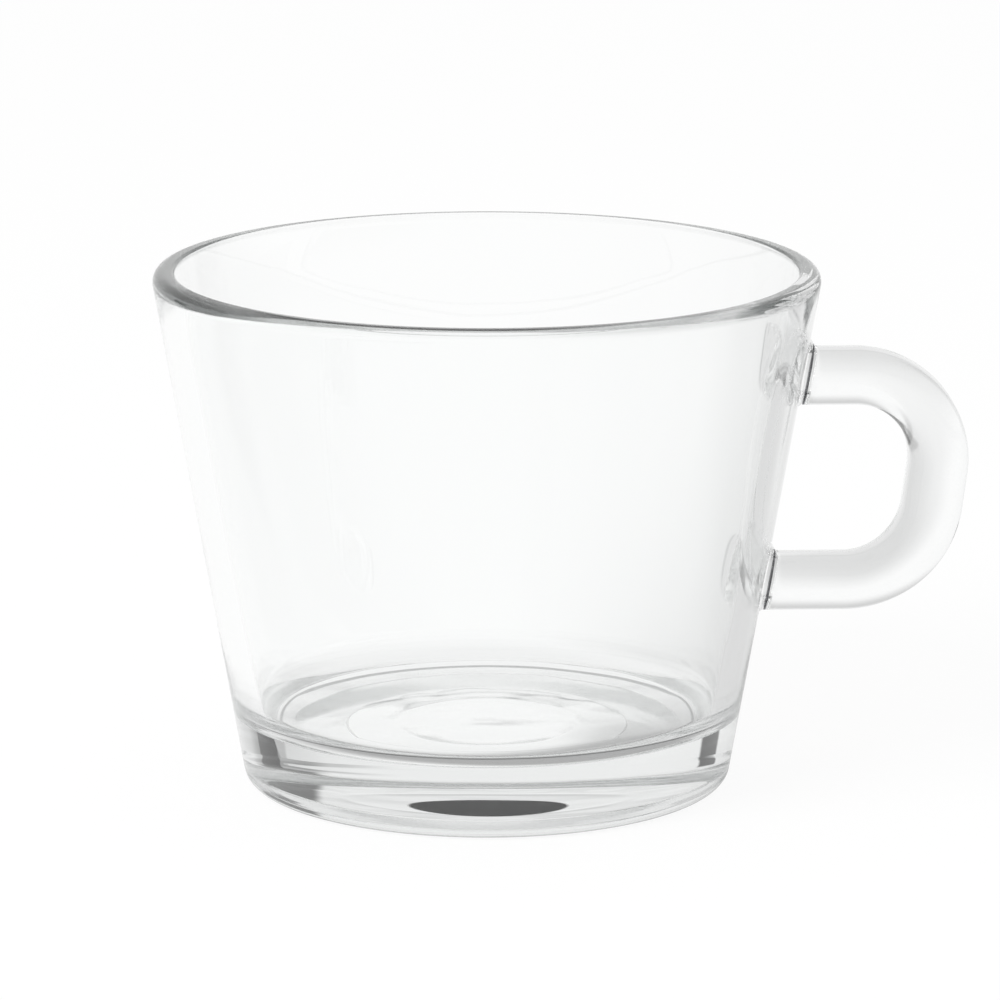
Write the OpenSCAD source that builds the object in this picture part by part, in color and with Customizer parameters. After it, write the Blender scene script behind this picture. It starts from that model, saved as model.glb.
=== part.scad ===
// A small coffee glass: a conical bowl with a thick foot, and one loop handle
// that stands on two small pads. The bowl turns about the Z axis and stands on
// z = 0, and the handle points along +X.

/* [Bowl] */
// Height of the bowl
glass_h = 66.1; // [62:0.1:74]
// Outer diameter at the rim, before its edges are rounded
rim_d = 84.6; // [80:0.1:90]
// Outer diameter at the foot, before its edge is rounded
foot_d = 61.5; // [58:0.1:68]
// Thickness of the wall at the rim, measured level
rim_wall = 3; // [2.7:0.1:4]
// Thickness of the wall at the inner floor, measured level
low_wall = 3.4; // [2.6:0.1:5]
// Height of the inner floor above the table
floor_h = 9; // [6:0.1:12]
// Rounding where the inner floor turns up into the wall
floor_round = 4; // [2:0.1:6]
// Rounding of the outer edge of the rim
rim_out_round = 1.5; // [0.5:0.05:1.6]
// Rounding of the inner edge of the rim
rim_in_round = 0.6; // [0.2:0.05:0.7]
// Rounding of the outer edge of the foot
foot_round = 2.1; // [1:0.1:2.8]

/* [Underside] */
// Inner diameter of the ring that the glass stands on
stand_d = 50.6; // [46:0.1:53]
// Rounding of the inner edge of that ring
stand_round = 6; // [2:0.5:12]
// Diameter of the flat recess in the middle
recess_d = 36; // [30:0.5:40]
// Height of the flat recess above the table
recess_h = 1.3; // [0.8:0.1:2]
// Height of the small step round the recess
recess_step = 0.35; // [0.1:0.05:0.6]

/* [Handle] */
// Height of the middle of the upper arm above the table
upper_arm_h = 51.9; // [50:0.1:55]
// Height of the middle of the lower arm above the table
lower_arm_h = 25.3; // [22:0.1:27]
// Distance from the axis of the bowl to the outermost point of the handle
handle_reach = 61.1; // [58:0.1:66]
// Thickness of the two arms, seen from the side
arm_t = 7; // [6.4:0.1:7.6]
// Thickness of the bar between the bends, seen from the side
bar_t = 7.5; // [6.4:0.1:8.4]
// Width of the handle, across the glass
grip_w = 8.6; // [7:0.1:11]
// Rounding of the long edges of the handle
grip_round = 3; // [1:0.1:3.1]
// Radius of the upper bend, on its middle line
upper_bend = 10.7; // [7:0.1:12]
// Radius of the lower bend, on its middle line
lower_bend = 11.3; // [8:0.1:13]
// Angle by which the bar leans
bar_lean = 7.5; // [0:0.5:12]
// Length over which an arm widens before it meets its pad
toe_l = 1.6; // [0.5:0.1:2.5]

/* [Pads] */
// Thickness of a pad between the wall and the arm
pad_t = 0.6; // [0.3:0.05:1]
// How far the face of a pad reaches past the sides of the arm
pad_margin = 0.5; // [0.2:0.05:1]
// How far the face of a pad sits above the middle of the arm
pad_rise = 0.5; // [0:0.05:0.5]
// Slope of the left and right sides of a pad, from the line of the arm
pad_side_flare = 60; // [30:1:64]
// Slope of the upper and lower sides of a pad, from the line of the arm
pad_end_flare = 35; // [10:1:50]

/* [Hidden] */
$fn = 360;
// Straight pieces that a rounded corner, a bend and a toe are made of
corner_steps = 8;
bend_steps = 12;
toe_steps = 5;
// How far a cutting shape runs past what it cuts
overrun = 2;

// The wall leans out by this angle
lean = atan((rim_d - foot_d) / 2 / glass_h);
// Along the wall and square to it, in the side view as [x, z]
wall_up = [sin(lean), cos(lean)];
wall_out = [cos(lean), -sin(lean)];

// Middle of each bend, and the length of the bar between them, in the side view
bar_out = [cos(bar_lean), -sin(bar_lean)];
bar_down = [-sin(bar_lean), -cos(bar_lean)];
upper_mid = [handle_reach - bar_t / 2 - upper_bend, upper_arm_h - upper_bend];
bend_step = upper_bend - lower_bend;
bar_l = (upper_mid.y - lower_arm_h - lower_bend - bend_step * sin(bar_lean)) / cos(bar_lean);
lower_mid = upper_mid + bend_step * bar_out + bar_l * bar_down;

// The standing ring's width, and its two roundings, held back where the ring is narrow
stand_w = (foot_d - stand_d) / 2;
foot_fillet = min(foot_round, stand_w / 2);
stand_fillet = min(stand_round, stand_w * 2);

// Outer radius of the wall at a height
function wall_r(z) = foot_d / 2 + z * tan(lean);

// Where the middle of the arm at height z meets the face of its pad
function arm_end(z) = [wall_r(z) + pad_t / cos(lean), z];

function unit(v) = v / norm(v);

function turned(v, a) = [v.x * cos(a) - v.y * sin(a), v.x * sin(a) + v.y * cos(a)];

// Points that round the corner q, between its neighbours p and s, with radius r
function corner_points(p, q, s, r) =
    let (
        u = unit(p - q),
        v = unit(s - q),
        half = acos(u * v) / 2,
        mid = q + unit(u + v) * r / sin(half),
        side = u.x * v.y - u.y * v.x > 0 ? 1 : -1
    )
    r == 0 ? [q] : [
        for (i = [0:corner_steps])
            mid - r * turned(unit(u + v), side * (90 - half) * (1 - 2 * i / corner_steps))
    ];

// A closed outline from its corners, each given as [x, y, rounding]
function rounded(corners) =
    let (n = len(corners), xy = [for (c = corners) [c.x, c.y]])
    [
        for (i = [0:n - 1])
            each corner_points(xy[(i + n - 1) % n], xy[i], xy[(i + 1) % n], corners[i].z)
    ];

// One section of a rod in the plane of the handle: its middle and the way its outer
// side faces, then its thickness and width, and the rounding of its corners
function section(mid, facing, size, r) =
    let (half = size / 2)
    [
        for (p = rounded([
            [half.x, half.y, r],
            [-half.x, half.y, r],
            [-half.x, -half.y, r],
            [half.x, -half.y, r]
        ]))
            [mid.x + p.x * cos(facing), p.y, mid.y + p.x * sin(facing)]
    ];

// Thickness of the rod on its way round a bend, from the arm at 0 to the bar at 1
function bend_t(share) = arm_t + (bar_t - arm_t) * (1 - cos(180 * share)) / 2;

// Section of a bend that turns the outer side from one angle to another
function bend_section(mid, radius, from, to, share, t) =
    let (facing = from + (to - from) * share)
    section(mid + radius * [cos(facing), sin(facing)], facing, [t, grip_w], grip_round);

// How much of its full spread a toe has left, from 1 at its pad to 0 at the arm
function toe_spread(share) = 1 - sqrt(1 - pow(1 - share, 2));

// Section of the toe of the arm at height z, whose outer side faces up or down
function toe_section(z, facing, share) =
    let (
        grow = pad_margin * toe_spread(share),
        rise = pad_rise * toe_spread(share) * wall_up,
        turn = -lean * (1 - share)
    )
    section(
        arm_end(z) + [toe_l * share, 0] + rise,
        facing + turn,
        [arm_t, grip_w] + 2 * [grow, grow],
        grip_round + grow
    );

// Section of a pad, this deep below the face that the arm at height z meets
function pad_section(z, depth) =
    section(
        arm_end(z) + pad_rise * wall_up - depth * wall_out,
        90 - lean,
        [arm_t, grip_w] + 2 * [pad_margin, pad_margin]
            + 2 * depth * [tan(pad_end_flare), tan(pad_side_flare)],
        grip_round + pad_margin
    );

// The solid whose skin runs through a row of sections
module skin(sections) {
    n = len(sections[0]);
    last = len(sections) - 1;
    polyhedron(
        points = [for (s = sections) each s],
        faces = [
            [for (j = [0:n - 1]) j],
            for (i = [0:last - 1], j = [0:n - 1])
                let (k = (j + 1) % n)
                each [
                    [i * n + j, i * n + n + j, i * n + k],
                    [i * n + k, i * n + n + j, i * n + n + k]
                ],
            [for (j = [n - 1:-1:0]) last * n + j]
        ]
    );
}

// The body that the outer wall would fill if it were solid
module wall_cone() {
    cylinder(h = glass_h, r1 = foot_d / 2, r2 = rim_d / 2);
}

// A pad for the arm at height z: a flared foot that lies on the wall
module pad(z) {
    difference() {
        skin([pad_section(z, pad_t + overrun), pad_section(z, 0)]);
        wall_cone();
    }
}

module bowl() {
    color([0.86, 0.93, 0.92, 0.45])
        rotate_extrude()
            polygon(rounded([
                [0, recess_h, 0],
                [recess_d / 2, recess_h, 0],
                [recess_d / 2, recess_h - recess_step, 0],
                [stand_d / 2, 0, stand_fillet],
                [foot_d / 2, 0, foot_fillet],
                [rim_d / 2, glass_h, rim_out_round],
                [rim_d / 2 - rim_wall, glass_h, rim_in_round],
                [wall_r(floor_h) - low_wall, floor_h, floor_round],
                [0, floor_h, 0]
            ]));
}

module upper_pad() {
    color([0.62, 0.72, 0.72])
        pad(upper_arm_h);
}

module lower_pad() {
    color([0.62, 0.72, 0.72])
        pad(lower_arm_h);
}

module handle() {
    color([0.95, 0.96, 0.95])
        skin([
            for (i = [0:toe_steps])
                toe_section(upper_arm_h, 90, i / toe_steps),
            for (i = [0:bend_steps])
                let (share = i / bend_steps)
                bend_section(upper_mid, upper_bend, 90, -bar_lean, share, bend_t(share)),
            for (i = [0:bend_steps])
                let (share = i / bend_steps)
                bend_section(lower_mid, lower_bend, -bar_lean, -90, share, bend_t(1 - share)),
            for (i = [toe_steps:-1:0])
                toe_section(lower_arm_h, -90, i / toe_steps)
        ]);
}

bowl();
upper_pad();
lower_pad();
handle();
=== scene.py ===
# %% [markdown]
# # A small coffee glass
# This lesson dresses a imported CAD model of a conical coffee glass with a loop handle. The
# frame, its size and its place come from the CAD part, in metres. Blender adds what the eye
# wants: finely turned surfaces, clear glass, a table and soft studio light.
#
# The first cell loads the imported part. It keeps the box of the CAD model.

# %% Load the imported glass
import math

import bmesh
import bpy
from mathutils import Matrix, Vector


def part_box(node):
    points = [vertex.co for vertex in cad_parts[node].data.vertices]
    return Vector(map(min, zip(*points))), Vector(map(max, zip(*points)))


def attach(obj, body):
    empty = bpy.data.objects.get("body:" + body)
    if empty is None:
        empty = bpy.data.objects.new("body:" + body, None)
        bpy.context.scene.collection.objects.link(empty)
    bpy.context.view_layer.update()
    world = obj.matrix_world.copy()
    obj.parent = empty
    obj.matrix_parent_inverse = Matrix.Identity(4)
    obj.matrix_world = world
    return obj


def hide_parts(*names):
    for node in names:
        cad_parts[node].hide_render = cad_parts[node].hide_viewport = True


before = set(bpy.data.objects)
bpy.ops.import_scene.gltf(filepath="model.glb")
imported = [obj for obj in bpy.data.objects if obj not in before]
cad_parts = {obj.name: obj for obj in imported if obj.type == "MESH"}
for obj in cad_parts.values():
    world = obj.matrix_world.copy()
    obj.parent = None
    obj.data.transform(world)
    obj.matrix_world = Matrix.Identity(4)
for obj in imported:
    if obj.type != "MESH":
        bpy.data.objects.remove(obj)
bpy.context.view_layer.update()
bowl_low, bowl_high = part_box("bowl")
print("CAD nodes:", ", ".join(sorted(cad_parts)))
print("bowl from", tuple(bowl_low), "to", tuple(bowl_high))

# %% [markdown]
# ## Camera
# The picture is square and was taken with a long lens, a little above the rim. The handle
# points almost exactly to the right. Placing the camera first means that every later cell
# can be judged in the same view.

# %% Camera
MM = 0.001
CAMERA_AZIMUTH = math.radians(-2.5)
CAMERA_ELEVATION = math.radians(12.97)
CAMERA_DISTANCE = 751.9 * MM
LOOK_AT = Vector((0, 0, 33.05 * MM))
LENS_MM = 213.2
LENS_SHIFT = (0.0132, 0.0234)
NEAREST_SEEN = 0.05

camera_data = bpy.data.cameras.new("camera")
camera_data.lens = LENS_MM
camera_data.shift_x, camera_data.shift_y = LENS_SHIFT
camera_data.clip_start = NEAREST_SEEN
camera = bpy.data.objects.new("camera", camera_data)
bpy.context.scene.collection.objects.link(camera)
back = Vector((
    math.sin(CAMERA_AZIMUTH) * math.cos(CAMERA_ELEVATION),
    -math.cos(CAMERA_AZIMUTH) * math.cos(CAMERA_ELEVATION),
    math.sin(CAMERA_ELEVATION),
))
camera.location = LOOK_AT + back * CAMERA_DISTANCE
camera.rotation_euler = (-back).to_track_quat("-Z", "Y").to_euler()
bpy.context.scene.camera = camera
bpy.context.scene.view_settings.view_transform = "Standard"
print("camera at", tuple(round(c, 4) for c in camera.location))

# %% [markdown]
# ## The bowl
# A real bowl like this is pressed or turned, so it is round everywhere. The quickest true
# way to model it is to draw half of its section once and spin it round the axis. The section
# is a chain of edges; each corner is rounded with a vertex bevel, which is what a fillet is
# on a drawing.

# %% Section of the bowl
GLASS_H = 66.1
RIM_R = 42.3
FOOT_R = 30.75
RIM_WALL = 3.0
LOW_WALL = 3.4
FLOOR_H = 9.0
STAND_R = 25.3
RECESS_R = 18.0
RECESS_H = 1.3
RECESS_STEP = 0.35
RECESS_ROUND = 0.2
STAND_ROUND = 6.0
FOOT_ROUND = 2.1
RIM_OUT_ROUND = 1.5
RIM_IN_ROUND = 0.6
FLOOR_ROUND = 4.0
LEAN = math.atan((RIM_R - FOOT_R) / GLASS_H)
CORNER_SEGMENTS = 16


def wall_r(z):
    """Outer radius of the wall at height z, in mm."""
    return FOOT_R + z * math.tan(LEAN)


# x, z and rounding of each corner, in mm, from the underside to the inner floor
BOWL_CORNERS = [
    (0, RECESS_H, 0),
    (RECESS_R, RECESS_H, RECESS_ROUND),
    (RECESS_R, RECESS_H - RECESS_STEP, RECESS_ROUND),
    (STAND_R, 0, STAND_ROUND),
    (FOOT_R, 0, FOOT_ROUND),
    (RIM_R, GLASS_H, RIM_OUT_ROUND),
    (RIM_R - RIM_WALL, GLASS_H, RIM_IN_ROUND),
    (wall_r(FLOOR_H) - LOW_WALL, FLOOR_H, FLOOR_ROUND),
    (0, FLOOR_H, 0),
]


def draw_section(corners, segments):
    """A chain of edges in the XZ plane, with its corners rounded."""
    bm = bmesh.new()
    chain = [bm.verts.new((x * MM, 0, z * MM)) for x, z, _ in corners]
    for a, b in zip(chain, chain[1:]):
        bm.edges.new((a, b))
    inner = list(zip(chain, chain[1:], chain[2:]))
    rounds = [r for _, _, r in corners[1:-1]]
    plan = []
    for (a, v, b), r in zip(inner, rounds):
        if r:
            half = (a.co - v.co).angle(b.co - v.co) / 2
            plan.append((v, r * MM / math.tan(half)))
    for v, reach in plan:
        bmesh.ops.bevel(
            bm, geom=[v], offset=reach, offset_type="OFFSET", segments=segments,
            profile=0.5, affect="VERTICES", material=-1,
        )
    return bm


section = draw_section(BOWL_CORNERS, CORNER_SEGMENTS)
print("section of the bowl:", len(section.verts), "points")

# %% Spin the bowl
SPIN_STEPS = 256
STEP = 5 * MM
MERGE_WITHIN = 0.001 * MM
SHARP_FROM = math.radians(35)

long_edges = [e for e in section.edges if e.calc_length() > 2 * STEP]
for edge in long_edges:
    bmesh.ops.subdivide_edges(section, edges=[edge], cuts=int(edge.calc_length() / STEP))
bmesh.ops.spin(
    section, geom=section.verts[:] + section.edges[:], cent=(0, 0, 0), axis=(0, 0, 1),
    angle=2 * math.pi, steps=SPIN_STEPS, use_merge=True,
)
bmesh.ops.remove_doubles(section, verts=section.verts[:], dist=MERGE_WITHIN)
bmesh.ops.recalc_face_normals(section, faces=section.faces[:])


def finish_mesh(bm, name):
    """Turn a bmesh into an object that rides on the glass, smooth but for its sharp edges."""
    for face in bm.faces:
        face.smooth = True
    for edge in bm.edges:
        edge.smooth = edge.calc_face_angle(0) < SHARP_FROM
    open_edges = sum(not e.is_manifold for e in bm.edges)
    mesh = bpy.data.meshes.new(name)
    volume = bm.calc_volume(signed=True)
    bm.to_mesh(mesh)
    bm.free()
    piece = bpy.data.objects.new(name, mesh)
    bpy.context.scene.collection.objects.link(piece)
    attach(piece, "root")
    print(name, len(mesh.polygons), "faces,", open_edges, "open edges,",
          round(volume / MM ** 3), "mm3")
    return piece


bowl = finish_mesh(section, "glass_bowl")
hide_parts("bowl")

# %% [markdown]
# ## The handle
# The handle is one rod, bent into a loop. It starts as a rounded rectangle and is extruded
# along its path, one short step at a time. Every station says where the middle of the rod
# is, which way its outer side faces, and how thick and wide it is there.

# %% Stations of the handle
UPPER_ARM_H = 51.9
LOWER_ARM_H = 25.3
HANDLE_REACH = 61.1
ARM_T = 7.0
BAR_T = 7.5
GRIP_W = 8.6
GRIP_ROUND = 3.0
UPPER_BEND = 10.7
LOWER_BEND = 11.3
BAR_LEAN = math.radians(7.5)
TOE_L = 1.6
PAD_T = 0.6
PAD_MARGIN = 0.5
PAD_RISE = 0.5
TOE_STEPS = 12
BEND_STEPS = 48

wall_up = Vector((math.sin(LEAN), math.cos(LEAN)))
wall_out = Vector((math.cos(LEAN), -math.sin(LEAN)))


def way(angle):
    """Unit vector in the XZ plane, as (x, z)."""
    return Vector((math.cos(angle), math.sin(angle)))


def arm_end(z):
    """Where the middle of the arm at height z meets its pad."""
    return Vector((wall_r(z) + PAD_T / math.cos(LEAN), z))


def toe_stations(z, facing):
    """Stations from the pad's face out to the plain arm."""
    stations = []
    for i in range(TOE_STEPS + 1):
        s = i / TOE_STEPS
        spread = 1 - math.sqrt(1 - (1 - s) ** 2)
        middle = arm_end(z) + Vector((TOE_L * s, 0)) + PAD_RISE * spread * wall_up
        grow = 2 * PAD_MARGIN * spread
        stations.append((middle, facing - LEAN * (1 - s), ARM_T + grow, GRIP_W + grow))
    return stations


def bend_stations(middle, radius, start, end, from_arm):
    """Stations round a bend; the rod grows from the arm's to the bar's thickness."""
    stations = []
    for i in range(BEND_STEPS + 1):
        s = i / BEND_STEPS
        facing = start + (end - start) * s
        along = s if from_arm else 1 - s
        t = ARM_T + (BAR_T - ARM_T) * (1 - math.cos(math.pi * along)) / 2
        stations.append((middle + radius * way(facing), facing, t, GRIP_W))
    return stations


upper_mid = Vector((HANDLE_REACH - BAR_T / 2 - UPPER_BEND, UPPER_ARM_H - UPPER_BEND))
bend_step = UPPER_BEND - LOWER_BEND
bar_drop = upper_mid.y - LOWER_ARM_H - LOWER_BEND - bend_step * math.sin(BAR_LEAN)
bar_l = bar_drop / math.cos(BAR_LEAN)
lower_mid = upper_mid + bend_step * way(-BAR_LEAN) - bar_l * way(math.pi / 2 - BAR_LEAN)
UP, DOWN = math.pi / 2, -math.pi / 2
stations = (
    toe_stations(UPPER_ARM_H, UP)
    + bend_stations(upper_mid, UPPER_BEND, UP, -BAR_LEAN, True)
    + bend_stations(lower_mid, LOWER_BEND, -BAR_LEAN, DOWN, False)
    + toe_stations(LOWER_ARM_H, DOWN)[::-1]
)
print(len(stations), "stations, bar", round(bar_l, 2), "mm long")

# %% Extrude the handle along its stations
ROD_SEGMENTS = 14


def place(station):
    """Matrix that puts the unit section (x thick, y wide) at a station."""
    middle, facing, t, w = station
    turn = Matrix.Rotation(-facing, 4, "Y")
    scale = Matrix.Diagonal((t / ARM_T, w / GRIP_W, 1, 1))
    return Matrix.Translation((middle.x * MM, 0, middle.y * MM)) @ turn @ scale


def rod_section():
    """A rounded rectangle in the XY plane: ARM_T along X and GRIP_W along Y."""
    bm = bmesh.new()
    bmesh.ops.create_grid(bm, x_segments=1, y_segments=1, size=0.5)
    bmesh.ops.scale(bm, vec=(ARM_T * MM, GRIP_W * MM, 1), verts=bm.verts[:])
    bmesh.ops.bevel(
        bm, geom=bm.verts[:], offset=GRIP_ROUND * MM, offset_type="OFFSET",
        segments=ROD_SEGMENTS, profile=0.5, affect="VERTICES", material=-1,
    )
    return bm


def extrude_on(bm, face, move):
    """Extrude a face and move what comes out by a matrix; the new face is returned."""
    inside = any(len(e.link_faces) > 1 for e in face.edges)
    new = bmesh.ops.extrude_face_region(bm, geom=[face])["geom"]
    if inside and face.is_valid:
        bmesh.ops.delete(bm, geom=[face], context="FACES_ONLY")
    verts = [g for g in new if isinstance(g, bmesh.types.BMVert)]
    bmesh.ops.transform(bm, matrix=move, verts=verts)
    return next(g for g in new if isinstance(g, bmesh.types.BMFace))


rod = rod_section()
bmesh.ops.transform(rod, matrix=place(stations[0]), verts=rod.verts[:])
rod.faces.ensure_lookup_table()
end = rod.faces[0]
for before, after in zip(stations, stations[1:]):
    end = extrude_on(rod, end, place(after) @ place(before).inverted())
bmesh.ops.recalc_face_normals(rod, faces=rod.faces[:])
handle = finish_mesh(rod, "glass_handle")
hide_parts("handle")

# %% [markdown]
# ## The pads
# Each arm stands on a low foot of glass that spreads out on the wall. It starts as the same
# rounded rectangle as the end of the arm, and its rim is moved out and down until its points
# lie on the cone of the wall, but for a hair of air, because two faces in the same place
# can't both be drawn. Just inside its rim a pad still dips into the wall, by up to 0.03 mm,
# because the flare doesn't follow the curve of the wall. That doesn't show, because the pads'
# material is see-through so close to the wall.

# %% Where the side of a pad meets the wall
AIR = 0.03
END_FLARE = math.tan(math.radians(35))
SIDE_FLARE = math.tan(math.radians(60))
DEEPEST = 4 * MM
HALVINGS = 40


def space(flat):
    """A vector (x, z) of the side view as a vector in space."""
    return Vector((flat.x, 0, flat.y))


up, out = space(wall_up), space(wall_out)


def on_wall(point):
    """The same point moved along X until it lies on the outer wall."""
    r = (wall_r(point.z / MM) + AIR) * MM
    return Vector((math.sqrt(r * r - point.y * point.y), point.y, point.z))


def find_foot(co, centre):
    """Where the flared side of a pad that starts at co reaches the wall, found by halving."""
    away = co - centre
    spread = END_FLARE * away.dot(up) / (ARM_T * MM / 2) * up
    spread.y = SIDE_FLARE * away.y / (GRIP_W * MM / 2)
    low, high = 0.0, DEEPEST
    for _ in range(HALVINGS):
        depth = (low + high) / 2
        p = co + depth * (spread - out)
        inside = math.hypot(p.x, p.y) < (wall_r(p.z / MM) + AIR) * MM
        low, high = (low, depth) if inside else (depth, high)
    return co + low * (spread - out)


print("pads flare by", round(END_FLARE, 2), "at the ends and", round(SIDE_FLARE, 2), "at the sides")

# %% Build the pads
PAD_STEPS = 6
LAST_RING_SHARE = 0.3
STILL = Matrix.Identity(4)


def flare(bm, face, feet):
    """Extrude the face in steps down to its feet, first steeply and then ever flatter."""
    first = [v.co.copy() for v in face.verts]
    for step in range(1, PAD_STEPS + 1):
        face = extrude_on(bm, face, STILL)
        s = step / PAD_STEPS
        down, wide = math.sin(s * math.pi / 2), 1 - math.cos(s * math.pi / 2)
        for v, co, foot in zip(face.verts, first, feet):
            drop = -(foot - co).dot(out)
            side = foot - co + drop * out
            v.co = co - drop * down * out + side * (s + wide) / 2
    return face


def close_on_wall(bm, face):
    """Shrink the face in rings that lie on the wall, down to a small last one."""
    for step in range(PAD_STEPS):
        face = extrude_on(bm, face, STILL)
        middle = face.calc_center_median()
        share = 1 - 1 / (PAD_STEPS - step + LAST_RING_SHARE)
        for v in face.verts:
            v.co = on_wall(middle + (v.co - middle) * share)


def make_pad(name, node, z):
    """The pad of the arm at height z, which takes the place of a CAD node."""
    middle = arm_end(z) + PAD_RISE * wall_up - AIR * wall_out
    start = (middle, math.pi / 2 - LEAN, ARM_T + 2 * PAD_MARGIN, GRIP_W + 2 * PAD_MARGIN)
    bm = rod_section()
    bmesh.ops.transform(bm, matrix=place(start), verts=bm.verts[:])
    bm.faces.ensure_lookup_table()
    face = bm.faces[0]
    centre = Vector((middle.x * MM, 0, middle.y * MM))
    feet = [find_foot(v.co, centre) for v in face.verts]
    close_on_wall(bm, flare(bm, face, feet))
    bmesh.ops.recalc_face_normals(bm, faces=bm.faces[:])
    pad = finish_mesh(bm, name)
    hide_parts(node)
    return pad


upper_pad = make_pad("glass_upper_pad", "upper_pad", UPPER_ARM_H)
lower_pad = make_pad("glass_lower_pad", "lower_pad", LOWER_ARM_H)

# %% [markdown]
# ## Shader maths as Python
# A material is a small calculation. Writing it with nodes one by one hides the sum, so one
# class wraps a socket and gives it the usual operators. The expression `1 - mask * 0.2`
# then adds the Math nodes by itself, and `add` makes every other kind of node. All patterns
# start from Object coordinates, scaled to millimetres, so that a number in a material is a
# number that could be measured on the glass.

# %% Sums that make nodes


class Value:
    """A socket of a node tree, with arithmetic."""

    def __init__(self, tree, socket=None):
        self.tree, self.socket = tree, socket

    def add(self, kind, settings=None, out=0, **sockets):
        """Add a node: its settings first, then the values or links of its sockets."""
        node = self.tree.nodes.new(kind)
        for key, value in (settings or {}).items():
            setattr(node, key, value)
        for key, value in sockets.items():
            slot = node.inputs[int(key[1:]) if key[0] == "_" else key.replace("_", " ")]
            if isinstance(value, Value):
                self.tree.links.new(value.socket, slot)
            else:
                slot.default_value = value
        return Value(self.tree, node.outputs[out] if node.outputs else None)

    def sum(self, operation, a, b):
        """A Math node."""
        return self.add("ShaderNodeMath", {"operation": operation}, _0=a, _1=b)

    def __add__(self, other):
        return self.sum("ADD", self, other)

    __radd__ = __add__

    def __mul__(self, other):
        return self.sum("MULTIPLY", self, other)

    def __sub__(self, other):
        return self.sum("SUBTRACT", self, other)

    def __rsub__(self, other):
        return self.sum("SUBTRACT", other, self)

    def __truediv__(self, other):
        return self.sum("DIVIDE", self, other)

    def __pow__(self, other):
        return self.sum("POWER", self, other)

    def max(self, other):
        return self.sum("MAXIMUM", self, other)

    def step(self, low, high):
        """0 below low, 1 above high, and a soft ramp between them."""
        return self.add(
            "ShaderNodeMapRange", {"interpolation_type": "SMOOTHSTEP"},
            _0=self, _1=low, _2=high, _3=0.0, _4=1.0,
        )

    def blend(self, first, second):
        """The first colour where the mask is 0, and the second where it is 1."""
        return self.add(
            "ShaderNodeMix", {"data_type": "RGBA"}, out=2, _0=self, _6=first, _7=second,
        )

    def parts(self):
        """The X, Y and Z of a vector."""
        node = self.add("ShaderNodeSeparateXYZ", _0=self).socket.node
        return [Value(self.tree, out) for out in node.outputs]


def start_material(name):
    """An empty material; its node tree is ready for sums."""
    material = bpy.data.materials.new(name)
    material.use_nodes = True
    material.node_tree.nodes.clear()
    return material, Value(material.node_tree)


def position_mm(start):
    """Object coordinates in millimetres."""
    coords = start.add("ShaderNodeTexCoord", out="Object")
    return start.add("ShaderNodeVectorMath", {"operation": "SCALE"}, _0=coords, _3=1 / MM)


# %% [markdown]
# ## Clear glass
# Plain drinking glass bends light by an index of about 1.52 and is close to colourless. It
# swallows a little light on its way, so the thick foot is a shade greener and greyer than the
# thin wall; that is a Volume Absorption with one even density. The mould and the flame that
# smooths the glass leave slow waves of a few hundredths of a millimetre, which draw the soft
# streaks where a wall turns away. They are a Noise Texture in a Bump node. A flat, perfect
# surface would look like plastic, and real displacement would need far more faces.

# %% Glass: colours and helpers
CLEAR = (0.995, 1.0, 0.998, 1)
# dark colour of the painted shade lines at the edges of the bowl
EDGE_SHADE = (0.03, 0.032, 0.034, 1)
SWALLOWED = (0.25, 0.29, 0.28, 1)
WHITE = (1, 1, 1, 1)
DENSITY = 3.0
GLASS_IOR = 1.52
WAVE_LENGTH = 10.0


def near_ring(r, z, ring_r, ring_z, reach, soft):
    """1 on a ring round the axis, fading out between reach and reach + soft, in mm."""
    across, along = r - ring_r, z - ring_z
    return 1 - (across * across + along * along).step(reach ** 2, (reach + soft) ** 2)


def glass_shader(start, colour, roughness, wave, along_z, more=1.0, relief=0.0):
    """Clear glass with waves of this height in mm. They run longer along Z where along_z is
    under 1, more strengthens them where it is high, and relief is a shape of its own in mm."""
    pattern = start.add(
        "ShaderNodeVectorMath", {"operation": "MULTIPLY"},
        _0=position_mm(start), _1=(1, 1, along_z),
    )
    waves = start.add(
        "ShaderNodeTexNoise", Vector=pattern, Scale=1 / WAVE_LENGTH, Detail=1.0, Roughness=0.4,
    )
    height = waves * more * wave + relief
    normal = start.add("ShaderNodeBump", Strength=1.0, Distance=MM, Height=height)
    return start.add(
        "ShaderNodeBsdfPrincipled", Base_Color=colour, Roughness=roughness, Normal=normal,
        IOR=GLASS_IOR, Transmission_Weight=1.0,
    )


def finish_glass(start, surface):
    """The output, with the same body of glass behind every surface."""
    body = start.add("ShaderNodeVolumeAbsorption", Color=SWALLOWED, Density=DENSITY)
    start.add("ShaderNodeOutputMaterial", Surface=surface, Volume=body)


print("glass: index", GLASS_IOR, "and absorption", DENSITY, "per metre")
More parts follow.
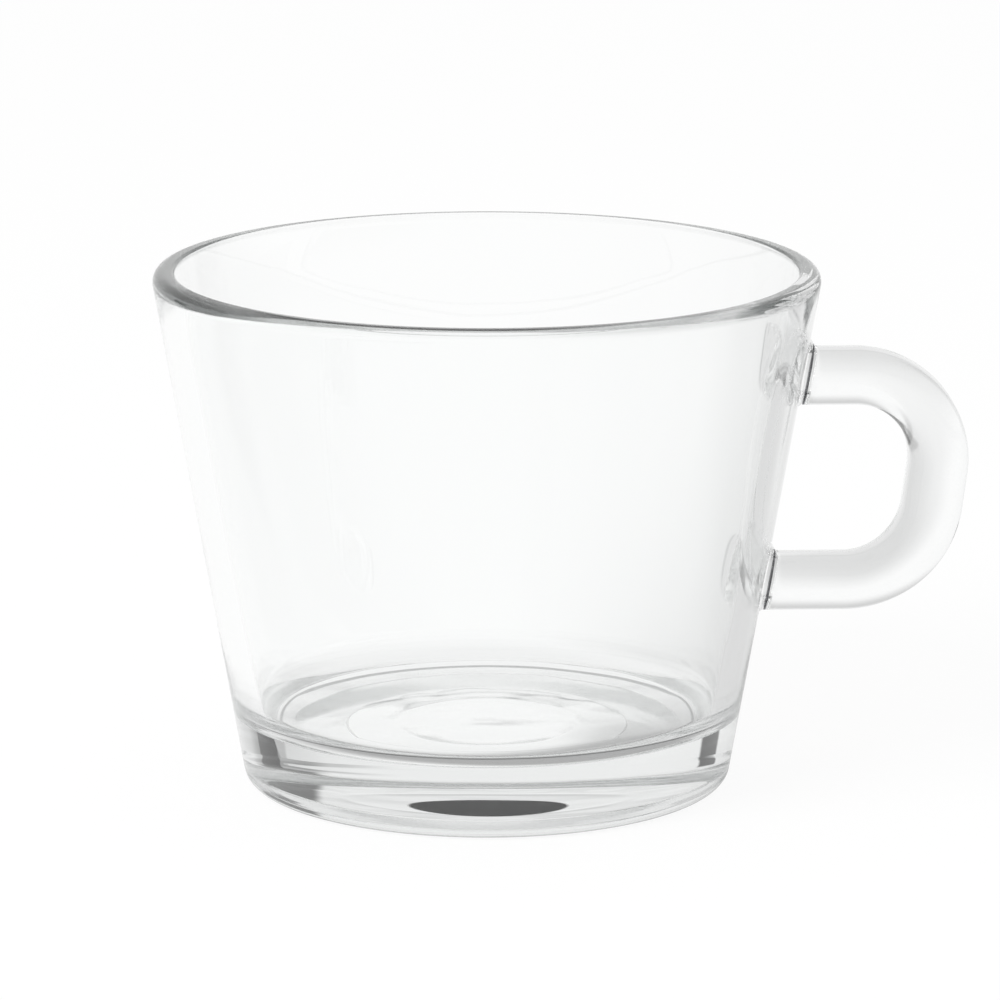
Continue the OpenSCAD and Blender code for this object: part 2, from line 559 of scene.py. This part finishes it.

# %% [markdown]
# ## The bowl's surface
# Where a rim or a corner is rounded, light is caught and leaves along the glass, and the edge
# reads as a thin dark line. Three thin rings of painted shade, in dark colour, make those lines
# darker: at the foot, at the back and front of the rim, and at the front of the inner floor.
# The front of the rim has a fourth painted shade line, which is broader and greyer on the left.
# It is mixed in as a near-black satin surface, because colour alone is lost where the surface
# mirrors the white room.
#
# The underside is less even than the rest, because it cools on the mould: its waves are
# stronger, a low round ridge runs about the middle, and the ring that it stands on is
# slightly worn. The waves are also stronger low on the wall and beside the handle. In the
# middle of the underside is a satin spot. Its near-black colour is painted shade, and it
# shows dark through the front of the foot. It is masked by a Layer Weight so that it fades
# when it is seen from above.
#
# Where a pad has melted into the wall there is no surface any more, only glass. Two surfaces
# that lie close together would mirror each other, so the wall is made see-through there.

# %% Thin lines of painted shade on the bowl
# radius and height of a ring, how far it reaches and how softly it fades, in mm
FOOT_RING = (29.3, 0.1, 0.3, 0.4)
RIM_RING = (40.35, GLASS_H, 0.3, 0.3)
FLOOR_RING = (27.6, 9.6, 0.5, 0.6)
FOOT_LINE_SHADE = 0.9
RIM_LINE_SHADE = 0.95
FLOOR_LINE_SHADE = 0.75
# how far from the middle a line fades in, to the back and to the front, in mm
RIM_FADE = (22, 33)
FLOOR_FADE = (0, 12)


def painted_edge_shade(r, y, z):
    """Mask of the painted shade lines at the foot, the rim and the front of the inner floor."""
    none, full = RIM_FADE
    foot_line = near_ring(r, z, *FOOT_RING) * FOOT_LINE_SHADE
    rim_line = near_ring(r, z, *RIM_RING) * (y * y).step(none ** 2, full ** 2) * RIM_LINE_SHADE
    floor_line = near_ring(r, z, *FLOOR_RING) * (0 - y).step(*FLOOR_FADE) * FLOOR_LINE_SHADE
    return foot_line.max(rim_line).max(floor_line)


print("lines at", FOOT_RING[0], "and", RIM_RING[0], "and", FLOOR_RING[0], "mm from the axis")

# %% The front of the rim, a painted shade line
FRONT_R = 40.85
FRONT_Z = 66.0
FRONT_REACH = 0.15
FRONT_SOFT = 0.2
# how dark the painted shade line at the front of the rim is
FRONT_RIM_SHADE = 0.85
FRONT_FADE = (4, 18)
RIGHT_FADE = (0, 20)
LEFT_FADE = (23, 33)
LEFT_REACH = 0.85
LEFT_PALER = 0.35


def painted_front_rim_shade(r, x, y, z):
    """Mask of the painted shade line at the front of the rim, broad and pale on the left."""
    left = (0 - x).step(*LEFT_FADE)
    line = near_ring(r, z, FRONT_R, FRONT_Z, left * LEFT_REACH + FRONT_REACH, FRONT_SOFT)
    line = line * (FRONT_RIM_SHADE - left * LEFT_PALER)
    return line * (0 - y).step(*FRONT_FADE) * (1 - x.step(*RIGHT_FADE))


print("front of the rim: reaches", FRONT_REACH, "to", FRONT_REACH + LEFT_REACH, "mm")

# %% Satin spot and its painted shade
SPOT_R = 7.2
SPOT_SOFT = 0.5
SPOT_STRETCH = 1.35
SPOT_Y = -4.0
SPOT_SHADE = 0.98
FACING_FADE = (0.75, 0.9)


def satin_spot_and_shade(start, x, y, under):
    """Mask of the spot under the base, painted shade which is gone when it is seen from above."""
    spot_y = (y - SPOT_Y) / SPOT_STRETCH
    spot_r = (x * x + spot_y * spot_y) ** 0.5
    spot = (1 - spot_r.step(SPOT_R - SPOT_SOFT, SPOT_R)) * under
    facing = start.add("ShaderNodeLayerWeight", out="Facing", Blend=0.5).step(*FACING_FADE)
    return spot * facing * SPOT_SHADE


print("satin spot", 2 * SPOT_R, "mm wide")

# %% Where the pads have melted into the wall
SPREAD_ACROSS = 3.2
SPREAD_UP = 0.6
PAD_SIDE = GRIP_W / 2 + SPREAD_ACROSS
PAD_END = ARM_T / 2 + SPREAD_UP
PAD_FADE = (0.85, 1.0)
SKIN_FADE = (-0.3, -0.2)
HANDLE_SIDE = (20, 30)


def from_wall(r, z):
    """Distance in mm outwards from the wall, measured level."""
    return r - FOOT_R - z * math.tan(LEAN)


def joined(y, z, arm_h):
    """1 on the part of the wall that the pad of an arm covers."""
    height = z - arm_h - PAD_RISE * math.cos(LEAN)
    across, along = y / PAD_SIDE, height / PAD_END
    return 1 - (across ** 4 + along ** 4).step(*PAD_FADE)


def melted_wall(r, x, y, z):
    """1 where a pad has melted into the outer side of the wall."""
    outside = from_wall(r, z).step(*SKIN_FADE) * x.step(*HANDLE_SIDE)
    return joined(y, z, UPPER_ARM_H).max(joined(y, z, LOWER_ARM_H)) * outside


print("melted", 2 * PAD_SIDE, "mm across and", 2 * PAD_END, "mm high")

# %% Material of the bowl
UNDER_TOP = (2.0, 3.0)
RIDGE_R = 11.7
RIDGE_H = 0.08
WORN_FROM = (17.5, 18.5)
WORN_TOP = (1.0, 1.3)
WORN_ROUGHNESS = 0.12
BOWL_WAVE = 0.04
BOWL_ALONG_Z = 0.25
UNDER_WAVES = 5
LOW_WAVES = 1.5
LOW_FADE = (3, 30)
SIDE_WAVES = 4
SIDE_FADE = (26, 34)
# near-black colour of the painted shade at the spot and at the front of the rim
SATIN_SHADE = (0.02, 0.02, 0.02, 1)
SATIN_ROUGHNESS = 0.6

material, start = start_material("clear_glass")
x, y, z = position_mm(start).parts()
r = (x * x + y * y) ** 0.5
# painted shade: the dark edge lines of the glass are darkened by rings of dark colour
colour = painted_edge_shade(r, y, z).blend(CLEAR, EDGE_SHADE)
under = 1 - z.step(*UNDER_TOP)
worn = r.step(*WORN_FROM) * (1 - z.step(*WORN_TOP)) * WORN_ROUGHNESS
ring = r - RIDGE_R
ridge = under * RIDGE_H / (1 + ring * ring)
low_waves = (1 - z.step(*LOW_FADE)) * LOW_WAVES
side_waves = x.step(*SIDE_FADE) * SIDE_WAVES
more = 1 + (under * UNDER_WAVES).max(low_waves).max(side_waves)
surface = glass_shader(start, colour, worn, BOWL_WAVE, BOWL_ALONG_Z, more, ridge)
# painted shade: a near-black satin surface, mixed in at the spot and at the front of the rim
satin = start.add("ShaderNodeBsdfPrincipled", Base_Color=SATIN_SHADE, Roughness=SATIN_ROUGHNESS)
dark = satin_spot_and_shade(start, x, y, under).max(painted_front_rim_shade(r, x, y, z))
surface = start.add("ShaderNodeMixShader", _0=dark, _1=surface, _2=satin)
melted = melted_wall(r, x, y, z)
through = start.add("ShaderNodeBsdfTransparent", Color=WHITE)
surface = start.add("ShaderNodeMixShader", _0=melted, _1=surface, _2=through)
finish_glass(start, surface)
bowl.data.materials.append(material)
print("bowl:", len(material.node_tree.nodes), "nodes")

# %% [markdown]
# ## The joints of the handle
# The loop is pressed on while the glass is hot. The pad and the toe of the arm melt into one
# body, and one thin dark seam stays where they meet. The faces inside the joint are made
# see-through, as above, and the rest of the pad and of the toe mostly so. The seam is a narrow
# mask between a clear and a grey Transparent shader. It lies in a plane that is turned a few
# degrees, so that its near and its far side cover each other in the photo's view and draw one
# line and not two. It counts only on camera rays, because the wall beside it would mirror it a
# second and a third time. The handle is a touch softer than the bowl, which spreads what shows
# through it into smooth gradients.

# %% The seam
SEAM_AT = PAD_T + 0.3
SEAM_HALF = 0.1
SEAM_SOFT = 0.06
SEAM_TURN = 0.097
SEAM_DARK = (0.50, 0.50, 0.51, 1)


def arm_distance(x, z):
    """Distance in mm from the plane in which the wall meets the arms."""
    return from_wall(x, z) * math.cos(LEAN)


def seam(start, x, y, z):
    """Clear, except on a thin line round the joint of an arm and its pad."""
    away = arm_distance(x, z) - SEAM_AT - y * SEAM_TURN
    line = 1 - (away * away).step(SEAM_HALF ** 2, (SEAM_HALF + SEAM_SOFT) ** 2)
    clear = start.add("ShaderNodeBsdfTransparent", Color=WHITE)
    dark = start.add("ShaderNodeBsdfTransparent", Color=SEAM_DARK)
    camera_ray = start.add("ShaderNodeLightPath", out="Is Camera Ray")
    return start.add("ShaderNodeMixShader", _0=line * camera_ray, _1=clear, _2=dark)


print("seam", 2 * SEAM_HALF, "mm wide,", SEAM_AT, "mm from the wall")

# %% Material of the handle
GRIP_WAVE = 0.01
HANDLE_ROUGHNESS = 0.1
END_FACE = (PAD_T + 0.02, PAD_T + 0.03)
TOE_FADE = (PAD_T + 0.3, PAD_T + 0.6)
TOE_THROUGH = 0.7

material, start = start_material("handle_glass")
x, y, z = position_mm(start).parts()
surface = glass_shader(start, CLEAR, HANDLE_ROUGHNESS, GRIP_WAVE, 1.0)
end_face = 1 - arm_distance(x, z).step(*END_FACE)
toe = 1 - arm_distance(x, z).step(*TOE_FADE)
through = seam(start, x, y, z)
melted = end_face.max(toe * TOE_THROUGH)
finish_glass(start, start.add("ShaderNodeMixShader", _0=melted, _1=surface, _2=through))
handle.data.materials.append(material)
print("handle:", len(material.node_tree.nodes), "nodes")

# %% Material of the pads
WALL_FACE = (AIR + 0.03, AIR + 0.05)
ARM_FACE = (PAD_T - AIR - 0.02, PAD_T - AIR - 0.01)
PAD_THROUGH = 0.75

material, start = start_material("pad_glass")
x, y, z = position_mm(start).parts()
surface = glass_shader(start, CLEAR, 0.0, GRIP_WAVE, 1.0)
wall_distance = from_wall((x * x + y * y) ** 0.5, z) * math.cos(LEAN)
wall_face = 1 - wall_distance.step(*WALL_FACE)
arm_face = arm_distance(x, z).step(*ARM_FACE)
through = seam(start, x, y, z)
melted = wall_face.max(arm_face).max(PAD_THROUGH)
finish_glass(start, start.add("ShaderNodeMixShader", _0=melted, _1=surface, _2=through))
for pad in (upper_pad, lower_pad):
    pad.data.materials.append(material)
print("pads:", len(material.node_tree.nodes), "nodes")

# %% [markdown]
# ## Studio
# Clear glass has no look of its own: it shows what stands round it. Glass on white is taken
# in a white room, and its edges are drawn by dark flags, which are strips of black card just
# outside the picture. Here the room is the world, and each flag is a window of azimuth and
# height in it: two narrow ones behind on the left and the right for the dark marks in the
# foot, a soft grey cloth on the right for the wall, and a higher one for the side of the rim.
# The horizon on the right, the ceiling and the room in front are dimmer than the backdrop.
# Z of a direction is the sine of its height over the horizon, so tops and bottoms are pairs
# of sines between which the light fades.
#
# The camera itself sees plain white, and diffuse light comes from an even white, so that no
# flag falls on the table. Cards as real objects would work too, but they are harder to place
# to a degree.

# %% Flags
# azimuth of the middle, and half the width inside and outside the soft edge, in degrees
RIGHT_FLAG = (52.5, 4.5, 6.0)
RIGHT_CLOTH = (47, 9, 17)
LEFT_FLAG = (-49, 4.0, 5.5)
HIGH_FLAG = (49, 11.0, 15.0)
# parts of a direction, upwards, to the right or to the front, between which the light fades
RIGHT_TOP = (0.15, 0.22)
LEFT_TOP = (0.10, 0.18)
HIGH_BOTTOM = (0.12, 0.2)
HIGH_TOP = (0.6, 0.8)
HORIZON_TOP = (0.03, 0.12)
CEILING_FROM = (0.2, 0.5)
CEILING_BACK = (0.45, 0.65)
HORIZON_SIDE = (0.25, 0.5)
ROOM_FADE = (0.1, 0.5)
# how much light each of them takes away
FLAG_DARK = 0.85
CLOTH_DARK = 0.45
HIGH_DARK = 0.75
HORIZON_DARK = 0.35
CEILING_PALER = 0.75


def flag(across, back, azimuth, inner, outer):
    """1 towards an azimuth, from the back to the right, and 0 past outer degrees from it."""
    turn = math.radians(azimuth)
    along = across * math.sin(turn) + back * math.cos(turn)
    return along.step(math.cos(math.radians(outer)), math.cos(math.radians(inner)))


print("flags at", RIGHT_FLAG[0], "and", LEFT_FLAG[0], "degrees from the back")

# %% World
ROOM_LIGHT = 0.9
CEILING_LIGHT = 0.62
FILL_LIGHT = 0.7

world = bpy.data.worlds.new("studio")
bpy.context.scene.world = world
world.use_nodes = True
world.node_tree.nodes.clear()
start = Value(world.node_tree)
x, y, z = start.add("ShaderNodeTexCoord", out="Generated").parts()
level = ((x * x + y * y) ** 0.5).max(0.001)
x_level, y_level = x / level, y / level
right = flag(x_level, y_level, *RIGHT_FLAG) * FLAG_DARK
right = right.max(flag(x_level, y_level, *RIGHT_CLOTH) * CLOTH_DARK)
left = flag(x_level, y_level, *LEFT_FLAG) * FLAG_DARK
high = flag(x_level, y_level, *HIGH_FLAG) * z.step(*HIGH_BOTTOM) * (1 - z.step(*HIGH_TOP))
horizon = x_level.step(*HORIZON_SIDE) * (1 - z.step(*HORIZON_TOP)) * HORIZON_DARK
room = (0 - y).step(*ROOM_FADE)
ceiling = z.step(*CEILING_FROM) * (1 - z.step(*CEILING_BACK) * CEILING_PALER)
studio = (1 - right * (1 - z.step(*RIGHT_TOP))) * (1 - left * (1 - z.step(*LEFT_TOP)))
studio = studio * (1 - high * HIGH_DARK) * (1 - horizon)
studio = studio * (1 - room * (1 - ROOM_LIGHT)) * (1 - ceiling * (1 - CEILING_LIGHT))
camera_ray = start.add("ShaderNodeLightPath", out="Is Camera Ray")
diffuse_ray = start.add("ShaderNodeLightPath", out="Is Diffuse Ray")
strength = camera_ray.max(diffuse_ray * FILL_LIGHT).max(studio * (1 - diffuse_ray))
light = start.add("ShaderNodeBackground", Color=WHITE, Strength=strength)
start.add("ShaderNodeOutputWorld", Surface=light)
print("world:", len(world.node_tree.nodes), "nodes")

# %% [markdown]
# ## Table
# The table is a plain pale sheet that runs into the backdrop. Straight from the camera it is
# almost wholly glow, which gives the white ground of the photo, with a little lit colour that
# keeps the shadow of the glass. What the glass itself shows of the table has painted shade in
# its glow: dark round the foot and most so in front, where the glass keeps the light away,
# softly grey on the right behind the handle, and grey again far out, where the cloth stands.

# %% Table
TABLE_SIZE = 3.0
TABLE_DROP = 0.05 * MM

bm = bmesh.new()
bmesh.ops.create_grid(bm, x_segments=1, y_segments=1, size=TABLE_SIZE)
mesh = bpy.data.meshes.new("table")
bm.to_mesh(mesh)
bm.free()
table = bpy.data.objects.new("table", mesh)
table.location.z = -TABLE_DROP
bpy.context.scene.collection.objects.link(table)
print("table", 2 * TABLE_SIZE, "m wide")

# %% Material of the table
TABLE_COLOUR = (0.9, 0.9, 0.9, 1)
BLACK = (0, 0, 0, 1)
CAMERA_WHITE = 0.93
# how much painted shade each zone puts into the table's glow
SIDE_SHADE = 0.27
ROUND_SHADE = 0.08
FRONT_SHADE = 0.5
# distances from the axis, in mm, between which a shade fades
CLOTH_REACH = (250, 500)
SIDE_REACH = (30, 50)
SHADE_FROM = (14, 24)
SHADE_TO = (36, 60)
SHADE_SHIFT = 6
# parts of a level direction, to the right, to the back and to the front
SIDE_ACROSS = (0.05, 0.85)
SIDE_BACK = (-0.3, 0.1)
FRONT_WAY = (0.2, 0.98)
FRONT_TURN = (-0.5, 0.7)

material, start = start_material("table_white")
x, y, _ = position_mm(start).parts()
reach = ((x * x + y * y) ** 0.5).max(1.0)
x_level, y_level = x / reach, y / reach
cloth = flag(x_level, y_level, *RIGHT_CLOTH) * reach.step(*CLOTH_REACH) * CLOTH_DARK
side = x_level.step(*SIDE_ACROSS) * y_level.step(*SIDE_BACK) * reach.step(*SIDE_REACH)
side = side * SIDE_SHADE
camera_ray = start.add("ShaderNodeLightPath", out="Is Camera Ray")
glossy_ray = start.add("ShaderNodeLightPath", out="Is Glossy Ray")
through_ray = start.add("ShaderNodeLightPath", out="Is Transmission Ray")
front = (x_level * FRONT_WAY[0] - y_level * FRONT_WAY[1]).step(*FRONT_TURN)
shade = (reach + x_level * SHADE_SHIFT).step(*SHADE_FROM) * (1 - reach.step(*SHADE_TO))
shade = shade * (ROUND_SHADE + front * FRONT_SHADE)
# painted shade in the table's glow, seen only by rays that come through or off the glass
dark = cloth.max(side).max(shade) * (1 - camera_ray)
white = (camera_ray * CAMERA_WHITE).max(glossy_ray.max(through_ray))
lit = start.add("ShaderNodeBsdfDiffuse", Color=TABLE_COLOUR)
glow = start.add("ShaderNodeEmission", Color=dark.blend(WHITE, BLACK))
both = start.add("ShaderNodeMixShader", _0=white, _1=lit, _2=glow)
start.add("ShaderNodeOutputMaterial", Surface=both)
table.data.materials.append(material)
print("table: white share", CAMERA_WHITE, "for the camera")

# %% [markdown]
# ## Lamps
# Two large area lamps light the table and give the soft shadow: a key from the left in front,
# and a weak one from above. Glass would show them as hard white squares, so they are hidden
# from glossy and from transmitted rays. The highlights come from the white room.

# %% Lamps
# name, place and side in metres, and power in watts
SOFTBOXES = [
    ("key_softbox", (-0.6, -0.55, 0.75), 0.5, 8.5),
    ("top_softbox", (0.1, 0.2, 1.2), 0.9, 1.2),
]


def add_softbox(name, place, size, power):
    """A square area lamp that points at the glass."""
    data = bpy.data.lights.new(name, "AREA")
    data.size = size
    data.energy = power
    lamp = bpy.data.objects.new(name, data)
    lamp.location = place
    lamp.rotation_euler = (LOOK_AT - Vector(place)).to_track_quat("-Z", "Y").to_euler()
    lamp.visible_glossy = False
    lamp.visible_transmission = False
    bpy.context.scene.collection.objects.link(lamp)


for softbox in SOFTBOXES:
    add_softbox(*softbox)

# %% [markdown]
# ## Bounces
# Light that enters at the rim or at the foot is trapped and runs along the glass, with many
# reflections, before it leaves. Cycles stops after 12 bounces by default and paints the rest
# black. A high limit costs little here, because only the few trapped rays use it.

# %% Bounces
BOUNCES = 128
cycles = bpy.context.scene.cycles
cycles.max_bounces = BOUNCES
cycles.glossy_bounces = BOUNCES
cycles.transmission_bounces = BOUNCES
print("up to", BOUNCES, "bounces")
